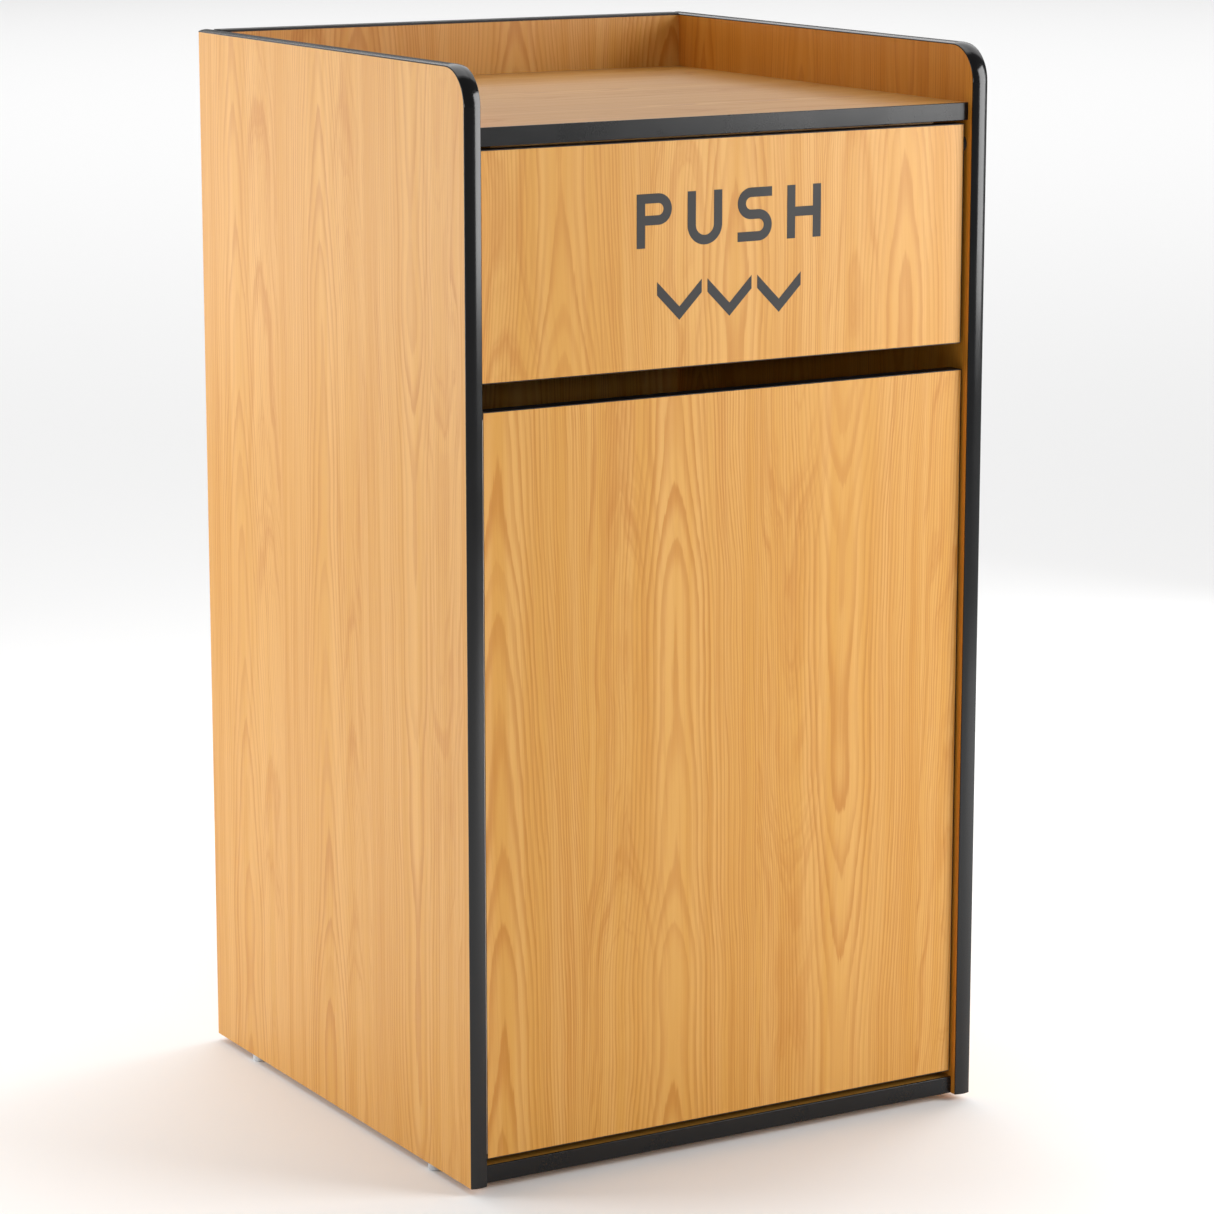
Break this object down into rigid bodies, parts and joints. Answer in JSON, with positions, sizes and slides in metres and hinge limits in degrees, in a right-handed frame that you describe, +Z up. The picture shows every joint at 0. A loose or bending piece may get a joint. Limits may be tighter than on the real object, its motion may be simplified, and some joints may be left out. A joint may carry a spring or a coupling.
{
  "type": "waste receptacle enclosure",
  "caption": "Upright wood-grain laminate drop cabinet with a railed tray top, a push flap over a deposit slot, and a side-hung door that hides a loose bin.",
  "frame": {"origin": "middle of the footprint, on the floor under the glides", "axes": "+Z up, +X to the right as seen from the front, and the front with the flap and the door faces -Y"},
  "size_m": [0.635, 0.6249, 1.178],
  "materials": {
    "laminate": "satin wood-grain laminate on particleboard, grain upright",
    "edging": "black PVC edging with rounded edges, satin to gloss",
    "edge_band": "thin flat black PVC band",
    "sign_film": "charcoal vinyl film",
    "bumper_rubber": "soft black rubber",
    "dowel_wood": "plain beech",
    "bush_nylon": "black nylon",
    "catch_plastic": "brown moulded plastic",
    "magnet": "sintered ferrite",
    "glide_plastic": "pale grey plastic",
    "bin_plastic": "grey moulded polyethylene, fine texture",
    "cam_zinc": "die-cast zinc",
    "zinc_steel": "zinc-plated steel"
  },
  "bodies": {
    "cabinet": {"side_board_left": "laminate", "side_board_right": "laminate", "side_edging_left": "edging", "side_edging_right": "edging", "back_board": "laminate", "back_edging": "edging", "deck_board": "laminate", "deck_edging": "edging", "base_board": "laminate", "base_edging": "edging", "cam_locks": "cam_zinc", "cam_bolts": "zinc_steel", "dowels": "dowel_wood", "flap_stop_batten": "laminate", "batten_screws": "zinc_steel", "flap_bumpers": "bumper_rubber", "pivot_bush_left": "bush_nylon", "pivot_bush_right": "bush_nylon", "hinge_frame_leaf": "zinc_steel", "hinge_pin": "zinc_steel", "hinge_frame_screws": "zinc_steel", "catch_housing_lower": "catch_plastic", "catch_housing_upper": "catch_plastic", "catch_poles_lower": "zinc_steel", "catch_poles_upper": "zinc_steel", "catch_magnet_lower": "magnet", "catch_magnet_upper": "magnet", "catch_screws": "zinc_steel", "glide_front_left": "glide_plastic", "glide_front_right": "glide_plastic", "glide_rear_left": "glide_plastic", "glide_rear_right": "glide_plastic", "glide_nails": "zinc_steel", "bin": "bin_plastic"},
    "flap": {"flap_board": "laminate", "flap_edge_band": "edge_band", "flap_sign": "sign_film", "pivot_pin_left": "zinc_steel", "pivot_pin_right": "zinc_steel"},
    "door": {"door_board": "laminate", "door_edge_band": "edge_band", "hinge_door_leaf": "zinc_steel", "hinge_door_screws": "zinc_steel", "strike_plate_lower": "zinc_steel", "strike_plate_upper": "zinc_steel", "strike_screws": "zinc_steel"}
  },
  "joints": [
    {"name": "flap_swing", "type": "hinge", "parent": "cabinet", "child": "flap", "pos_m": [0, -0.292, 1.071], "axis": [1, 0, 0], "range_deg": [0, 90]},
    {"name": "door_swing", "type": "hinge", "parent": "cabinet", "child": "door", "pos_m": [-0.296, -0.3019, 0.431], "axis": [0, 0, -1], "range_deg": [0, 100]}
  ]
}
